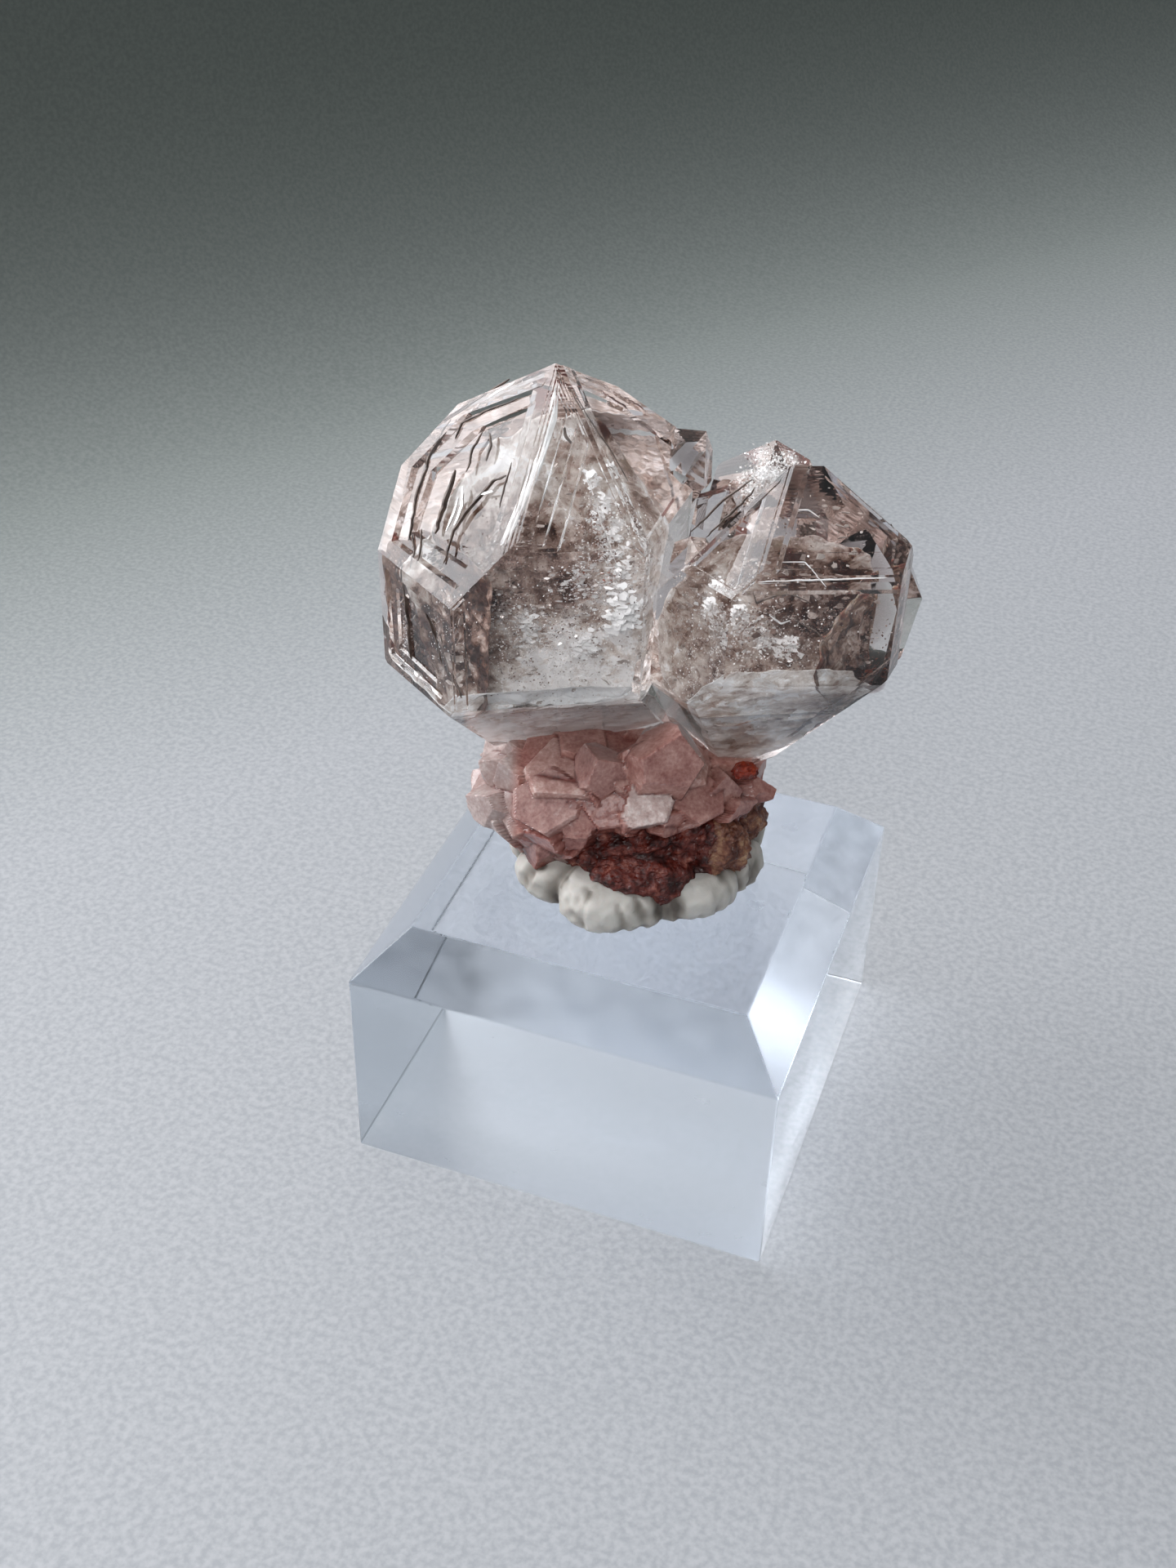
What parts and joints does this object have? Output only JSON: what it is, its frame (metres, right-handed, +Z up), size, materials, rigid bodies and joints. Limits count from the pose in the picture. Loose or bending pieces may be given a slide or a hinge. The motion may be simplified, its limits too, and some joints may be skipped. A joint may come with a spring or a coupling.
{
  "type": "fenster quartz cluster on a display block",
  "caption": "Clear to smoky window-faced quartz crystals on a pink quartz crust, set in putty on a bevelled clear acrylic display block.",
  "frame": {"origin": "middle of the block's underside, on the surface that the block stands on", "axes": "+Z up; +X along the block's front edge to the right; +Y towards the back. The picture looks from the front and a little from the right."},
  "size_m": [0.0343, 0.0318, 0.06],
  "materials": {
    "clear_quartz": "clear to smoky quartz with natural lustrous faces and flaky inclusions",
    "pink_quartz": "dusty pink druse with rusty matrix",
    "mineral_tack": "off-white kneaded putty, matte",
    "clear_acrylic": "polished clear acrylic"
  },
  "bodies": {
    "root": {"clear_crystals": "clear_quartz", "pink_crust": "pink_quartz", "putty_pad": "mineral_tack", "acrylic_block": "clear_acrylic"}
  },
  "joints": []
}
